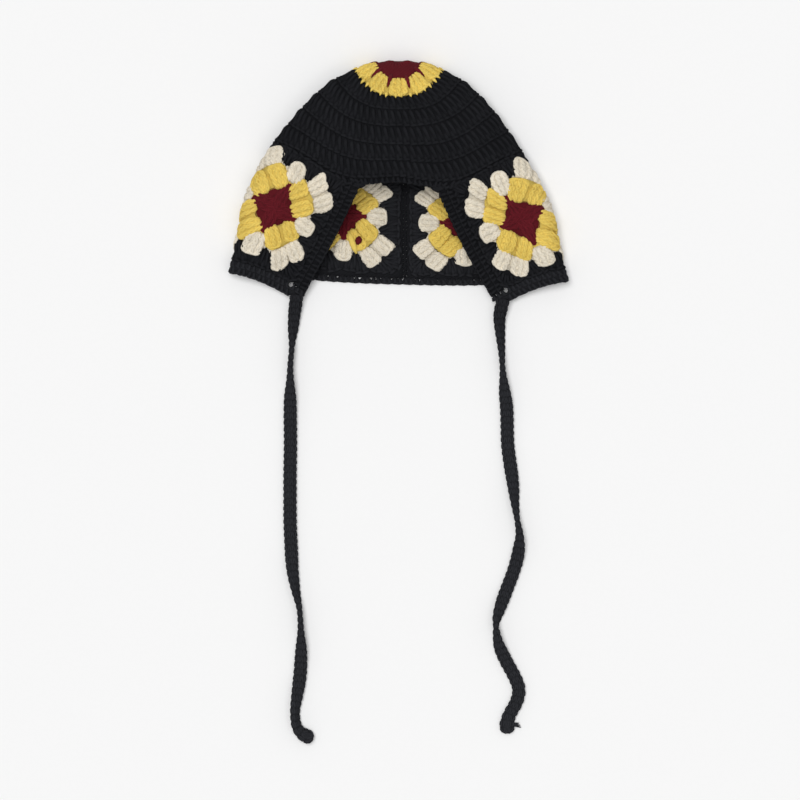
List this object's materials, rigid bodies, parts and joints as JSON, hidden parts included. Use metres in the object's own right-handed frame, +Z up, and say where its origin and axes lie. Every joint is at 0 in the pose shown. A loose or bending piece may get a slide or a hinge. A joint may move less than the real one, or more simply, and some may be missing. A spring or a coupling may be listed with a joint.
{
  "type": "crochet bonnet",
  "caption": "Crocheted bonnet with a round dark crown, a band of patchwork squares round the face and two long ties, lying flat on its back.",
  "frame": {"origin": "middle of the bonnet's bounding box, without the ties, on the surface that it lies on", "axes": "+Z up from the surface; +Y towards the top of the crown; +X to the right in the picture, across the bonnet"},
  "size_m": [0.2877, 0.5787, 0.0573],
  "materials": {
    "black_yarn": "matt cotton yarn",
    "burgundy_yarn": "matt cotton yarn",
    "yellow_yarn": "matt cotton yarn",
    "cream_yarn": "matt cotton yarn"
  },
  "bodies": {
    "root": {"crown_centre": "burgundy_yarn", "crown_ring": "yellow_yarn", "crown_dome": "black_yarn", "square_side_left_star": "burgundy_yarn", "square_side_left_inner_round": "yellow_yarn", "square_side_left_outer_round": "cream_yarn", "square_side_left_border": "black_yarn", "square_back_left_star": "burgundy_yarn", "square_back_left_inner_round": "yellow_yarn", "square_back_left_outer_round": "cream_yarn", "square_back_left_border": "black_yarn", "square_back_right_star": "burgundy_yarn", "square_back_right_inner_round": "yellow_yarn", "square_back_right_outer_round": "cream_yarn", "square_back_right_border": "black_yarn", "square_side_right_star": "burgundy_yarn", "square_side_right_inner_round": "yellow_yarn", "square_side_right_outer_round": "cream_yarn", "square_side_right_border": "black_yarn", "seam_left": "black_yarn", "seam_back": "black_yarn", "seam_right": "black_yarn", "face_edging": "black_yarn", "neck_edging": "black_yarn", "tie_left": "black_yarn", "tie_right": "black_yarn"}
  },
  "joints": []
}
